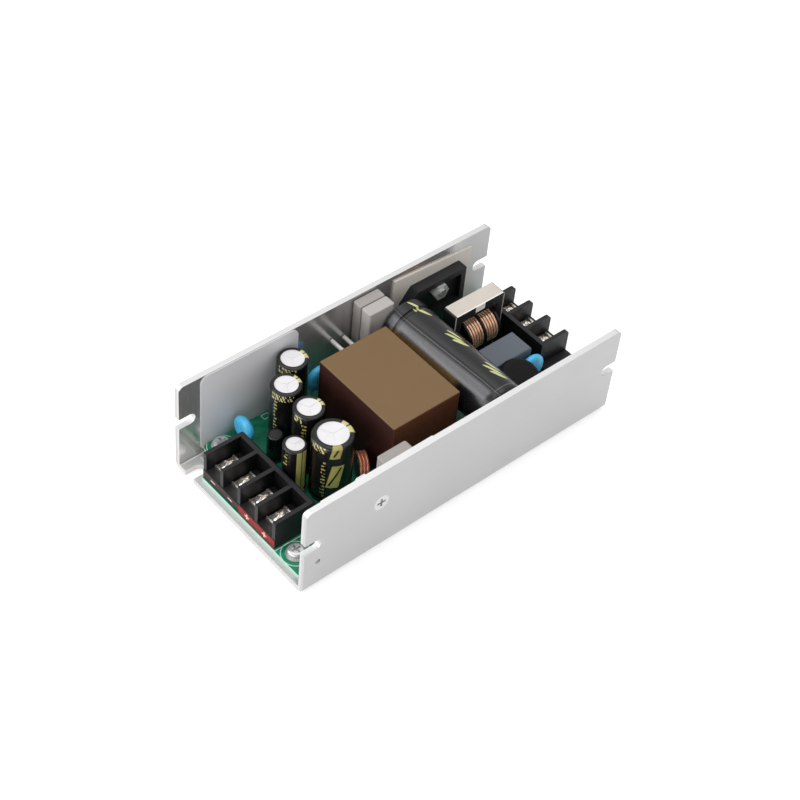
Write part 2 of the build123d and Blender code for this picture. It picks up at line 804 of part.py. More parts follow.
with BuildPart() as transformer_pins:
    pin_pitch = (transformer_size_x - 2 * transformer_pin_end_gap) / (transformer_pin_count - 1)
    pin_rows = transformer_size_y - 2 * transformer_pin_inset
    with BuildSketch(Plane((transformer_x, transformer_y, board_top))):
        with GridLocations(pin_pitch, pin_rows, transformer_pin_count, 2):
            Circle(transformer_pin_radius)
    extrude(amount=pin_top - board_top)
finish(transformer_pins, "transformer_pins")

with BuildPart() as transformer_leads:
    with BuildSketch(Plane((transformer_east, transformer_far, 0), x_dir=(-1, 0, 0), z_dir=(0, 1, 0))):
        with Locations(*[(share * transformer_size_x, height) for share, height in lead_outs]):
            Circle(lead_out_radius)
    extrude(amount=wall_inner - seat_gap - transformer_far)
finish(transformer_leads, "transformer_leads")

# Common-mode choke: an upright rectangular ring with two coils side by side on its lower bar
choke_x = (choke_west + choke_east) / 2
choke_y = choke_near + choke_thickness / 2
choke_window_width = choke_width - 2 * choke_side_bar
choke_window_bottom = choke_bottom + choke_low_bar
choke_window_top = choke_top - choke_top_bar
coil_z = choke_bottom + choke_low_bar / 2
choke_front = Plane((choke_x, choke_near, 0), x_dir=(1, 0, 0), z_dir=(0, -1, 0))
with BuildPart() as choke_core:
    with BuildSketch(choke_front):
        with Locations((0, choke_bottom)):
            Rectangle(choke_width, choke_top - choke_bottom, align=(Align.CENTER, Align.MIN))
        with Locations((0, choke_window_bottom)):
            Rectangle(
                choke_window_width,
                choke_window_top - choke_window_bottom,
                align=(Align.CENTER, Align.MIN),
                mode=Mode.SUBTRACT,
            )
    extrude(amount=-choke_thickness)
    fillet(choke_core.edges().filter_by(Axis.Y).group_by(Axis.X)[0], choke_corner_round)
    fillet(choke_core.edges().filter_by(Axis.Y).group_by(Axis.X)[-1], choke_corner_round)
finish(choke_core, "choke_core")

with BuildPart() as choke_tape:
    with BuildSketch(Plane((choke_x, choke_y, choke_top))):
        Rectangle(choke_width - 2 * choke_corner_round, choke_thickness)
        with Locations((0, -choke_thickness / 2)):
            Rectangle(tape_tab_width, tape_thickness, align=(Align.CENTER, Align.MAX))
    extrude(amount=tape_thickness)
    with BuildSketch(choke_front):
        with Locations((0, choke_top)):
            Rectangle(tape_tab_width, tape_tab_drop, align=(Align.CENTER, Align.MAX))
    extrude(amount=tape_thickness)
finish(choke_tape, "choke_tape")

# The bobbin is a square tube round the lower bar with three flanges on a foot.
# It is pushed to the window's east end.
bobbin_section_y = choke_thickness + 2 * bobbin_tube_wall
bobbin_section_z = choke_low_bar + 2 * bobbin_tube_wall
bobbin_east = choke_east - choke_side_bar - fit_gap
bobbin_west = bobbin_east - bobbin_length
bobbin_x = (bobbin_west + bobbin_east) / 2
bobbin_end = Plane((bobbin_west, choke_y, coil_z), x_dir=(0, 1, 0), z_dir=(1, 0, 0))
flange_spots = (bobbin_west, bobbin_x - bobbin_flange / 2, bobbin_east - bobbin_flange)
with BuildPart() as choke_bobbin:
    with BuildSketch(bobbin_end):
        Rectangle(bobbin_section_y, bobbin_section_z)
    extrude(amount=bobbin_length)
    for spot in flange_spots:
        with BuildSketch(bobbin_end.offset(spot - bobbin_west)):
            Circle(bobbin_flange_radius)
            with Locations((0, board_top - coil_z)):
                Rectangle(bobbin_flange_radius, coil_z - board_top, align=(Align.CENTER, Align.MIN))
        extrude(amount=bobbin_flange)
    with BuildSketch(Plane((bobbin_x, choke_y, board_top))):
        Rectangle(bobbin_length, 2 * bobbin_flange_radius)
    extrude(amount=bobbin_foot_height)
    with BuildSketch(bobbin_end):
        Rectangle(choke_thickness + 2 * fit_gap, choke_low_bar + 2 * fit_gap)
    extrude(amount=bobbin_length, mode=Mode.SUBTRACT)
finish(choke_bobbin, "choke_bobbin")

# Each coil is a barrel of round turns laid side by side
winding_room = flange_spots[1] - flange_spots[0] - bobbin_flange
winding_bore = (bobbin_section_y ** 2 + bobbin_section_z ** 2) ** 0.5 / 2 + fit_gap
winding_length = winding_turns * winding_wire
turn_axis_radius = winding_radius - winding_wire / 2
for label, start in (("choke_winding_left", flange_spots[0]), ("choke_winding_right", flange_spots[1])):
    first_turn = start + bobbin_flange + (winding_room - winding_length) / 2
    with BuildPart() as winding:
        with BuildSketch(Plane((first_turn, choke_y, coil_z), x_dir=(1, 0, 0), z_dir=(0, -1, 0))):
            with Locations((0, winding_bore)):
                Rectangle(winding_length, turn_axis_radius - winding_bore, align=(Align.MIN, Align.MIN))
            for turn in range(winding_turns):
                with Locations(((turn + 0.5) * winding_wire, turn_axis_radius)):
                    Circle(winding_wire / 2)
        revolve(axis=Axis((first_turn, choke_y, coil_z), (1, 0, 0)))
    finish(winding, label)

# Box capacitor
with BuildPart() as filter_capacitor:
    with BuildSketch(Plane.XY.offset(board_top)):
        with Locations((
            (box_capacitor_west + box_capacitor_east) / 2,
            (box_capacitor_near + box_capacitor_far) / 2,
        )):
            Rectangle(box_capacitor_length, box_capacitor_far - box_capacitor_near)
    extrude(amount=box_capacitor_top - board_top)
    fillet(filter_capacitor.edges().group_by(Axis.Z)[-1], box_capacitor_round)
finish(filter_capacitor, "filter_capacitor")

# Thermistor: a thick disc bent over towards the near wall
thermistor_up = (0, -sin(radians(thermistor_tilt)), cos(radians(thermistor_tilt)))
thermistor_centre = (thermistor_x, thermistor_y, thermistor_height)
thermistor_plane = Plane(thermistor_centre, x_dir=(1, 0, 0), z_dir=thermistor_up)
with BuildPart() as thermistor:
    with BuildSketch(thermistor_plane):
        Circle(thermistor_radius)
    extrude(amount=thermistor_thickness / 2, both=True)
    fillet(thermistor.edges().filter_by(GeomType.CIRCLE), thermistor_round)
finish(thermistor, "thermistor")

# Blue disc capacitors that stand on edge
for label, x, y, z, radius, faces_x in blue_discs:
    facing = Plane((x, y, z), x_dir=(0, 1, 0), z_dir=(1, 0, 0))
    if not faces_x:
        facing = Plane((x, y, z), x_dir=(1, 0, 0), z_dir=(0, -1, 0))
    with BuildPart() as disc:
        with BuildSketch(facing):
            Circle(radius)
        extrude(amount=disc_thickness / 2, both=True)
        fillet(disc.edges().filter_by(GeomType.CIRCLE), disc_round)
    finish(disc, label)

# Leads of the discs, from the board up to each body
with BuildPart() as disc_leads:
    half_pitch = disc_lead_pitch / 2
    for label, x, y, z, radius, faces_x in blue_discs:
        lead_top = z - (radius ** 2 - half_pitch ** 2) ** 0.5
        for side in (-half_pitch, half_pitch):
            spot = (x, y + side, board_top) if faces_x else (x + side, y, board_top)
            with BuildSketch(Plane(spot)):
                Circle(disc_lead_radius)
            extrude(amount=lead_top - board_top - fit_gap)
    underside = thermistor_height - thermistor_thickness / 2 / thermistor_up[2]
    for side in (-half_pitch, half_pitch):
        with BuildSketch(Plane((thermistor_x + side, thermistor_y, board_top))):
            Circle(disc_lead_radius)
        extrude(amount=underside - board_top - seat_gap)
finish(disc_leads, "disc_leads")

# Output inductor: round turns side by side on a ferrite rod, with both ends of the wire led down to the board
coil_along = Vector(cos(radians(coil_heading)), sin(radians(coil_heading)), 0)
coil_across = Vector(-coil_along.Y, coil_along.X, 0)
coil_middle = Vector(coil_x, coil_y, coil_height)
coil_turn_radius = coil_radius - coil_wire_radius
coil_span = (coil_turns - 1) * coil_pitch
rod_radius = coil_turn_radius - coil_wire_radius - fit_gap
rod_length = coil_span + 2 * (coil_wire_radius + coil_rod_overhang)
with BuildPart() as output_inductor_core:
    with BuildSketch(Plane(coil_middle - coil_along * (rod_length / 2), z_dir=coil_along)):
        Circle(rod_radius)
    extrude(amount=rod_length)
finish(output_inductor_core, "output_inductor_core")

with BuildPart() as output_inductor_winding:
    for turn in range(coil_turns):
        centre = coil_middle + coil_along * (turn * coil_pitch - coil_span / 2)
        with BuildSketch(Plane(centre, x_dir=coil_along, z_dir=coil_across)):
            with Locations((0, coil_turn_radius)):
                Circle(coil_wire_radius + fit_gap)
        revolve(axis=Axis(centre, coil_along))
    for end in (-1, 1):
        foot = coil_middle + coil_along * (end * coil_span / 2) + coil_across * (end * coil_turn_radius)
        with BuildSketch(Plane((foot.X, foot.Y, board_top))):
            Circle(coil_wire_radius)
        extrude(amount=coil_height - board_top)
finish(output_inductor_winding, "output_inductor_winding")


def wall_sheet(label, west, east, bottom, top, wall_y, thickness, tilt=0, corner=0, hole=None):
    """Make a thin sheet on the wall whose inner side is at wall_y; it may be turned in its own plane."""
    side = 1 if wall_y > 0 else -1
    face = Plane((0, wall_y - side * thickness, 0), x_dir=(1, 0, 0), z_dir=(0, -1, 0))
    with BuildPart() as piece:
        with BuildSketch(face):
            with Locations(Location(((west + east) / 2, (bottom + top) / 2, 0), (0, 0, tilt))):
                if corner:
                    RectangleRounded(east - west, top - bottom, corner)
                else:
                    Rectangle(east - west, top - bottom)
            if hole:
                with Locations(hole):
                    Circle(screw_radius + fit_gap, mode=Mode.SUBTRACT)
        extrude(amount=-side * thickness)
    finish(piece, label)


wall_sheet(
    "far_wall_sheet",
    far_sheet_west,
    far_sheet_east,
    wall_sheet_bottom,
    chassis_height - seat_gap,
    wall_inner,
    wall_sheet_thickness,
    corner=wall_sheet_corner_round,
)
wall_sheet(
    "near_wall_sheet",
    near_sheet_west,
    near_sheet_east,
    wall_sheet_bottom,
    chassis_height,
    -wall_inner,
    wall_sheet_thickness,
    hole=clamp_screw_place,
)
wall_sheet(
    "bridge_rectifier_pad",
    pad_west,
    pad_east,
    pad_bottom,
    pad_top,
    wall_inner,
    pad_thickness,
    tilt=pad_tilt,
    hole=rectifier_screw_place,
)

# Bridge rectifier: a moulded body with a cut corner, a sunk front and a ledge, bolted to the wall
rectifier_back = wall_inner - pad_thickness
rectifier_front = rectifier_back - rectifier_thickness
rectifier_plane = Plane((0, rectifier_front, 0), x_dir=(1, 0, 0), z_dir=(0, -1, 0))
with BuildPart() as bridge_rectifier:
    with BuildSketch(rectifier_plane) as outline:
        with BuildLine():
            Polyline(
                (rectifier_west, rectifier_bottom),
                (rectifier_east, rectifier_bottom),
                (rectifier_east, rectifier_top),
                (rectifier_west + rectifier_chamfer_x, rectifier_top),
                (rectifier_west, rectifier_top - rectifier_chamfer_z),
                close=True,
            )
        make_face()
    extrude(amount=-rectifier_thickness)
    with BuildSketch(rectifier_plane):
        add(outline.sketch)
        offset(amount=-rectifier_rim)
        with Locations(((rectifier_west + rectifier_east) / 2, rectifier_ledge_bottom)):
            Rectangle(
                rectifier_width,
                rectifier_ledge_height,
                align=(Align.CENTER, Align.MIN),
                mode=Mode.SUBTRACT,
            )
    extrude(amount=-rectifier_recess, mode=Mode.SUBTRACT)
    with BuildSketch(rectifier_plane):
        with Locations(rectifier_screw_place):
            Circle(screw_radius + fit_gap)
    extrude(amount=-rectifier_thickness, mode=Mode.SUBTRACT)
finish(bridge_rectifier, "bridge_rectifier")

with BuildPart() as bridge_rectifier_leads:
    lead_line = (rectifier_front + rectifier_back) / 2
    with BuildSketch(Plane(((rectifier_west + rectifier_east) / 2, lead_line, board_top))):
        with GridLocations(rectifier_lead_pitch, 1, rectifier_leads, 1):
            Rectangle(rectifier_lead_width, rectifier_lead_thickness)
    extrude(amount=rectifier_bottom - board_top)
finish(bridge_rectifier_leads, "bridge_rectifier_leads")

# Silicone caps over power devices that stand on their leads
for label, x, width, low_y, high_y, top in device_caps:
    with BuildPart() as cap:
        with BuildSketch(Plane((x, (low_y + high_y) / 2, device_cap_bottom))):
            Rectangle(width, high_y - low_y)
        extrude(amount=top - device_cap_bottom)
        fillet(cap.edges().filter_by(Axis.Z), device_cap_round)
        fillet(cap.edges().group_by(Axis.Z)[-1], device_cap_round / 2)
    finish(cap, label)

with BuildPart() as transistor_leads:
    for label, x, width, low_y, high_y, top in device_caps:
        with BuildSketch(Plane((x, (low_y + high_y) / 2, board_top))):
            with GridLocations(device_lead_pitch, 1, 3, 1):
                Rectangle(device_lead_width, device_lead_thickness)
        extrude(amount=device_cap_bottom - board_top)
finish(transistor_leads, "transistor_leads")

# Clamp strip: its leg stands on the near wall's sheet and its finger presses on the capped device
foot_y = -wall_inner + wall_sheet_thickness
finger_y = near_cap_low + near_cap_depth
clamp_leg_x = clamp_screw_place[0] - clamp_leg_gap
clamp_grip = chassis_width / 2 + finger_y + clamp_strip_thickness
with BuildPart() as device_clamp:
    with BuildSketch(Plane.XY.offset(clamp_screw_height - clamp_strip_height / 2)):
        with BuildLine() as strip_line:
            Polyline(
                (clamp_leg_x, foot_y),
                (clamp_leg_x, finger_y),
                (clamp_screw_place[0] + clamp_finger_reach, finger_y),
            )
            offset(strip_line.line, amount=clamp_strip_thickness, side=Side.LEFT)
        make_face()
    extrude(amount=clamp_strip_height)
    with Locations(near_face):
        with Locations(clamp_screw_place):
            Hole(screw_radius + fit_gap, depth=clamp_grip + fit_gap)
finish(device_clamp, "device_clamp")

# Countersunk wall screws and the nuts inside: face, place on it, what they grip, length
wall_fixings = (
    (near_face, clamp_screw_place, clamp_grip, clamp_screw_length),
    (
        far_face,
        rectifier_screw_seat,
        sheet + pad_thickness + rectifier_thickness - rectifier_recess,
        rectifier_screw_length,
    ),
)
with BuildPart() as wall_screws:
    for face, place, grip, length in wall_fixings:
        seat_centre = face.from_local_coords(Vector(place[0], place[1], 0))
        seat = Plane(seat_centre, x_dir=face.x_dir, z_dir=face.z_dir)
        with BuildSketch(seat):
            Circle(screw_radius)
        extrude(amount=-length)
        with BuildSketch(seat):
            Circle(flush_head_radius)
        extrude(amount=-(flush_head_radius - screw_radius), taper=45)
        with BuildSketch(seat):
            Rectangle(recess_length, recess_width)
            Rectangle(recess_width, recess_length)
        extrude(amount=-recess_depth, mode=Mode.SUBTRACT)
finish(wall_screws, "wall_screws")

with BuildPart() as wall_nuts:
    for face, place, grip, length in wall_fixings:
        seat_centre = face.from_local_coords(Vector(place[0], place[1], -grip))
        seat = Plane(seat_centre, x_dir=face.x_dir, z_dir=face.z_dir)
        with BuildSketch(seat):
            RegularPolygon(nut_flats / 2, 6, major_radius=False)
            Circle(screw_radius + fit_gap, mode=Mode.SUBTRACT)
        extrude(amount=-nut_height)
finish(wall_nuts, "wall_nuts")
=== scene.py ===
from math import cos, pi, radians, sin, sqrt

import bmesh
import bpy
from mathutils import Matrix, Vector


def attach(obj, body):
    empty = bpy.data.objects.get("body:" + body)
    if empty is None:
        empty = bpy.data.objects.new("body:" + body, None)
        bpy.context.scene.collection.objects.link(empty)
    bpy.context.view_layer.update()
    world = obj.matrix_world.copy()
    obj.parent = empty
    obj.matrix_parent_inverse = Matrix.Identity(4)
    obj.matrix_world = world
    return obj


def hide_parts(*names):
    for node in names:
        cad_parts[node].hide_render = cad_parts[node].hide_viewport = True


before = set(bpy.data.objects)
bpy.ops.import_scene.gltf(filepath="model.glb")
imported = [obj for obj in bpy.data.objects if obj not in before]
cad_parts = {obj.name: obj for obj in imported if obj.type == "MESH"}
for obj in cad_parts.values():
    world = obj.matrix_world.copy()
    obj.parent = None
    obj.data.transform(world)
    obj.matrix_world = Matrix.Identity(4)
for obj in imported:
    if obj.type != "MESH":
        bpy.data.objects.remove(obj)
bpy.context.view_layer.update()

# Camera, solved from the chassis' edges in the photograph
camera_place = (-0.28001, -0.27875, 0.43239)
camera_heading = -45.14
camera_tilt = 43.56
camera_roll = 6.41
lens_mm = 82.04
sensor_mm = 36.0

MM = 0.001

# Places in millimetres that materials and finer pieces share with the solids
output_screws_x = -56.5
input_screws_x = 56.4
output_poles = (-11.95, -3.45, 5.05, 13.55)
input_poles = (-6.8, 1.7, 10.2)
bulk_axis_x = 17.5
bulk_axis_z = 25.0


# Shader helpers

class Shader:
    """A node material: one principled shader, and short ways to feed its sockets."""

    def __init__(self, name, **values):
        self.material = bpy.data.materials.new(name)
        self.material.use_nodes = True
        self.tree = self.material.node_tree
        self.principled = self.tree.nodes["Principled BSDF"]
        self.bump_link = None
        for key, value in values.items():
            self.principled.inputs[key.replace("_", " ")].default_value = value

    def node(self, kind, inputs=None, **settings):
        made = self.tree.nodes.new(kind)
        for key, value in settings.items():
            setattr(made, key, value)
        for key, value in (inputs or {}).items():
            self.feed(made.inputs[key], value)
        return made

    def feed(self, socket, value):
        if isinstance(value, bpy.types.NodeSocket):
            self.tree.links.new(value, socket)
        else:
            socket.default_value = value

    def place(self, scale=(1, 1, 1)):
        """Object coordinates in metres, scaled."""
        coordinates = self.node("ShaderNodeTexCoord").outputs["Object"]
        return self.node("ShaderNodeMapping", {"Vector": coordinates, "Scale": scale}).outputs["Vector"]

    def split(self, vector):
        """The X, Y and Z of a vector as three sockets."""
        parts = self.node("ShaderNodeSeparateXYZ", {"Vector": vector}).outputs
        return parts["X"], parts["Y"], parts["Z"]

    def axes(self):
        """Where the point lies, in metres."""
        return self.split(self.place())

    def normal_axes(self):
        """Which way the surface faces."""
        return self.split(self.node("ShaderNodeTexCoord").outputs["Normal"])

    def noise(self, scale, detail=3.0, rough=0.5, stretch=(1, 1, 1)):
        made = self.node(
            "ShaderNodeTexNoise",
            {"Vector": self.place(stretch), "Scale": scale, "Detail": detail, "Roughness": rough},
        )
        return made.outputs["Fac"]

    def math(self, operation, first, second=0.0, third=0.0):
        made = self.node("ShaderNodeMath", operation=operation)
        self.feed(made.inputs[0], first)
        self.feed(made.inputs[1], second)
        self.feed(made.inputs[2], third)
        return made.outputs[0]

    def minus(self, first, second):
        return self.math("SUBTRACT", first, second)

    def times(self, first, second):
        return self.math("MULTIPLY", first, second)

    def size(self, value):
        """The value without its sign."""
        return self.math("ABSOLUTE", value)

    def between(self, value, low, high, soft):
        """1 where value lies between low and high, with soft borders."""
        rise = self.step(value, low, soft)
        fall = self.step(value, high, soft)
        return self.minus(rise, fall)

    def step(self, value, edge, soft):
        """0 below the edge and 1 above it, with a soft border."""
        return self.remap(value, edge - soft, edge + soft, 0.0, 1.0)

    def remap(self, value, low, high, to_low, to_high):
        made = self.node(
            "ShaderNodeMapRange",
            {"Value": value, "From Min": low, "From Max": high, "To Min": to_low, "To Max": to_high},
        )
        return made.outputs["Result"]

    def mix(self, factor, first, second):
        made = self.node("ShaderNodeMix", data_type="RGBA")
        self.feed(made.inputs[0], factor)
        self.feed(made.inputs[6], first if isinstance(first, bpy.types.NodeSocket) else (*first, 1))
        self.feed(made.inputs[7], second if isinstance(second, bpy.types.NodeSocket) else (*second, 1))
        return made.outputs[2]

    def cover(self, *masks):
        """1 where any of the masks is 1."""
        total = masks[0]
        for mask in masks[1:]:
            total = self.math("MAXIMUM", total, mask)
        return total

    def both(self, *masks):
        """1 where all of the masks are 1."""
        total = masks[0]
        for mask in masks[1:]:
            total = self.times(total, mask)
        return total

    def angle(self, up, across):
        """Angle in degrees of the point (across, up)."""
        return self.math("DEGREES", self.math("ARCTAN2", up, across))

    def arc(self, angle, low, high, soft=1.0):
        """1 where an angle in degrees lies between low and high, which may pass 180."""
        turned = self.math("WRAP", self.minus(angle, (low + high) / 2), 180, -180)
        half = (high - low) / 2
        return self.between(turned, -half, half, soft)

    def line(self, value, centre, half, soft):
        """1 where value lies within half of the centre."""
        return self.between(value, centre - half, centre + half, soft)

    def far(self, x, y):
        """Distance in the plane from the point (x, y)."""
        here = self.axes()
        across = self.minus(here[0], x)
        along = self.minus(here[1], y)
        return self.math("SQRT", self.math("ADD", self.times(across, across), self.times(along, along)))

    def color(self, value):
        self.feed(self.principled.inputs["Base Color"], value)

    def rough(self, value):
        self.feed(self.principled.inputs["Roughness"], value)

    def bump(self, height, distance):
        """Relief of the given height in metres, laid over any earlier one."""
        made = self.node("ShaderNodeBump", {"Height": height, "Distance": distance, "Strength": 1.0})
        if self.bump_link:
            self.feed(made.inputs["Normal"], self.bump_link)
        self.bump_link = made.outputs["Normal"]
        self.feed(self.principled.inputs["Normal"], self.bump_link)


def srgb(*levels):
    """Turn 0 to 255 screen levels into linear colour."""
    scaled = [level / 255 for level in levels]
    return tuple(c / 12.92 if c <= 0.04045 else ((c + 0.055) / 1.055) ** 2.4 for c in scaled)


def mottled(name, dark, light, scale, roughness, bump_scale, bump_depth, **values):
    """A plain moulded or coated finish: two near colours in soft clouds, and a fine grain."""
    shader = Shader(name, **values)
    shader.color(shader.mix(shader.noise(scale), dark, light))
    shader.rough(shader.remap(shader.noise(scale * 3), 0.3, 0.7, roughness - 0.05, roughness + 0.05))
    shader.bump(shader.noise(bump_scale, 2), bump_depth)
    return shader.material


def brushed_metal(name, dark, light, roughness, along, metallic=1.0):
    """Metal with fine lines along one axis."""
    shader = Shader(name, Metallic=metallic)
    stretch = tuple(0.04 if axis == along else 1.0 for axis in "xyz")
    lines = shader.noise(2600, 4, 0.6, stretch)
    clouds = shader.noise(60, 2)
    shader.color(shader.mix(clouds, dark, light))
    shader.rough(shader.math("ADD", shader.remap(lines, 0.25, 0.75, -0.06, 0.06), roughness))
    shader.bump(lines, 0.00002)
    return shader.material


def assign(material, *nodes):
    for node in nodes:
        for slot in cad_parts[node].material_slots:
            slot.material = material


# Materials of the CAD nodes

inside_reach = 30.5
open_end_start = 50
drawn_lines_end = 16


def chassis_material():
    """Bare aluminium: satin outside, almost a mirror inside with upright drawing lines, and painted light on
    faces that look up.
    """
    shader = Shader("chassis_metal")
    x, y = shader.axes()[:2]
    up = shader.step(shader.normal_axes()[2], 0.6, 0.1)
    level = shader.minus(1.0, up)
    inside = shader.both(shader.between(y, -inside_reach * MM, inside_reach * MM, 0.5 * MM), level)
    open_end = shader.both(inside, shader.step(x, open_end_start * MM, 4 * MM))
    upright = shader.noise(1500, 4, 0.6, (1, 1, 0.05))
    grain = shader.noise(2600, 4, 0.6, (0.06, 1, 1))
    clouds = shader.noise(50, 2)
    outer = shader.mix(clouds, srgb(188, 187, 188), srgb(195, 194, 195))
    # Painted light: faces that look up, such as the wall tops and the floor, are painted lighter than the
    # sides.
    outer = shader.mix(up, outer, srgb(232, 232, 232))
    drawn = shader.minus(inside, shader.both(inside, shader.step(x, drawn_lines_end * MM, 6 * MM)))
    drawn_lines = shader.math("ADD", shader.times(shader.minus(upright, 0.5), drawn), 0.5)
    inner = shader.mix(drawn_lines, srgb(198, 196, 194), srgb(220, 217, 215))
    inner = shader.mix(open_end, inner, srgb(208, 209, 209))
    shader.color(shader.mix(inside, outer, inner))
    shader.feed(shader.principled.inputs["Metallic"], shader.remap(open_end, 0.0, 1.0, 0.75, 0.12))
    outer_rough = shader.remap(grain, 0.25, 0.75, 0.36, 0.46)
    inner_rough = shader.math("ADD", shader.remap(drawn_lines, 0.25, 0.75, 0.16, 0.28),
                              shader.times(open_end, 0.3))
    shader.rough(shader.math("ADD", shader.times(inside, inner_rough),
                             shader.times(shader.minus(1.0, inside), outer_rough)))
    shader.bump(shader.times(upright, drawn), 0.000012)
    shader.bump(grain, 0.000008)
    return shader.material


assign(chassis_material(), "chassis")

zinc = brushed_metal("zinc", srgb(196, 196, 196), srgb(226, 226, 225), 0.2, "z", 0.6)
assign(zinc, "board_standoffs", "board_screws", "wall_screws", "device_clamp")
# Painted light: a lighter copy of the zinc for the nuts, which sit in shade beside the rectifier's pad.
lit_zinc = brushed_metal("lit_zinc", srgb(236, 240, 242), srgb(250, 252, 253), 0.14, "z", 0.45)
assign(lit_zinc, "wall_nuts")

nickel = brushed_metal("nickel", srgb(236, 226, 218), srgb(255, 248, 240), 0.2, "x", 0.95)
assign(nickel, "output_block_clamps", "output_block_screws", "output_block_contacts", "input_block_clamps",
       "input_block_screws", "input_block_contacts")

tin = brushed_metal("tin", srgb(190, 188, 184), srgb(220, 219, 216), 0.28, "z")
assign(tin, "transformer_pins", "transistor_leads", "bridge_rectifier_leads", "bulk_capacitor_leads",
       "disc_leads")

film = mottled("film", srgb(205, 206, 202), srgb(214, 215, 212), 90, 0.4, 2000, 0.00001)
assign(film, "bottom_insulator")


# Printed rings round the board's screws, and outlines: middle X, half X, middle Y, half Y
ring_places = ((-58.4, -22.1), (-50.5, 25.4), (58.4, 22.1), (50.5, -25.4))
ring_radius = 4.7
outlines = ((-54.6, 8.4, 0.8, 18.4), (56.5, 6.8, 1.7, 14.3), (-31.6, 1.3, 27.4, 0.9))
print_soft = 0.05
# Lower border, in millimetres, of the painted mint highlight on the board's cut edge
edge_highlight_bottom = 5.55


def board_material():
    """Green mask with pale cut edges, a painted mint highlight along the top of those edges, and white
    printed rings and outlines.
    """
    shader = Shader("board_mask")
    x, y, z = shader.axes()
    flat = shader.step(shader.size(shader.normal_axes()[2]), 0.6, 0.1)
    mask = shader.mix(shader.noise(220), srgb(6, 112, 80), srgb(14, 142, 104))
    copper_under = shader.line(shader.noise(90, 1), 0.5, 0.02, 0.006)
    mask = shader.mix(shader.times(copper_under, 0.5), mask, srgb(40, 160, 122))
    prints = []
    for ring_x, ring_y in ring_places:
        distance = shader.far(ring_x * MM, ring_y * MM)
        prints.append(shader.line(distance, ring_radius * MM, 0.11 * MM, print_soft * MM))
    for middle_x, half_x, middle_y, half_y in outlines:
        from_x = shader.minus(shader.size(shader.minus(x, middle_x * MM)), half_x * MM)
        from_y = shader.minus(shader.size(shader.minus(y, middle_y * MM)), half_y * MM)
        prints.append(shader.line(shader.math("MAXIMUM", from_x, from_y), 0.0, 0.12 * MM, print_soft * MM))
    printed = shader.both(shader.cover(*prints), flat)
    top = shader.mix(printed, mask, srgb(226, 236, 230))
    # Painted highlight: a bright mint band along the top of the cut edge.
    edge_highlight_band = shader.step(z, edge_highlight_bottom * MM, 0.08 * MM)
    rim = shader.mix(edge_highlight_band, srgb(178, 192, 185), srgb(150, 228, 198))
    shader.color(shader.mix(flat, rim, top))
    shader.rough(shader.remap(shader.noise(400), 0.3, 0.7, 0.24, 0.34))
    shader.bump(shader.noise(900, 2), 0.00002)
    return shader.material


assign(board_material(), "circuit_board")


def block_material():
    """Black moulding, near black on its sides and inside, with its upper faces painted greyer as painted
    light.
    """
    shader = Shader("black_moulding", Specular_IOR_Level=0.32)
    up = shader.step(shader.normal_axes()[2], 0.6, 0.1)
    clouds = shader.noise(300)
    side = shader.mix(clouds, srgb(13, 13, 14), srgb(18, 18, 19))
    # Painted light: the upper faces are painted greyer than the sides.
    top = shader.mix(clouds, srgb(31, 31, 33), srgb(38, 38, 40))
    shader.color(shader.mix(up, side, top))
    shader.rough(shader.remap(shader.noise(900), 0.3, 0.7, 0.4, 0.5))
    shader.bump(shader.noise(4000, 2), 0.000012)
    return shader.material


assign(block_material(), "output_block_body", "input_block_body", "transformer_bobbin", "choke_bobbin")


sign_height = 8.0
sign_reach = 1.1
sign_half = 0.26
sign_soft = 0.08


def label_material(name, dark, light, mark, spots, upright):
    """A printed strip with plain minus or plus signs."""
    shader = Shader(name, Specular_IOR_Level=0.12)
    y, z = shader.axes()[1:]
    signs = []
    for spot in spots:
        across = shader.minus(y, spot * MM)
        bars = [(sign_reach, sign_half)] + ([(sign_half, sign_reach)] if upright else [])
        for reach_y, reach_z in bars:
            signs.append(shader.both(shader.line(across, 0, reach_y * MM, sign_soft * MM),
                                     shader.line(z, sign_height * MM, reach_z * MM, sign_soft * MM)))
    ground = shader.mix(shader.noise(400), dark, light)
    shader.color(shader.mix(shader.cover(*signs), ground, mark))
    shader.rough(shader.remap(shader.noise(900), 0.3, 0.7, 0.3, 0.4))
    return shader.material


label_red = label_material("label_red", srgb(119, 15, 13), srgb(134, 22, 20), srgb(238, 196, 186),
                           output_poles[:2], True)
assign(label_red, "positive_label")
label_dark = label_material("label_dark", srgb(38, 18, 18), srgb(48, 25, 24), srgb(210, 190, 184),
                            output_poles[2:], False)
assign(label_dark, "negative_label")


def can_top_material():
    """Pale aluminium tops of the capacitors."""
    shader = Shader("can_aluminium", Metallic=0.2)
    shader.color(shader.mix(shader.noise(300), srgb(226, 224, 226), srgb(244, 242, 244)))
    shader.rough(shader.remap(shader.noise(1500), 0.3, 0.7, 0.32, 0.45))
    shader.bump(shader.noise(2500, 2), 0.00001)
    return shader.material


can_aluminium = can_top_material()
pale_yellow = srgb(206, 198, 140)
dull_yellow = srgb(176, 168, 96)


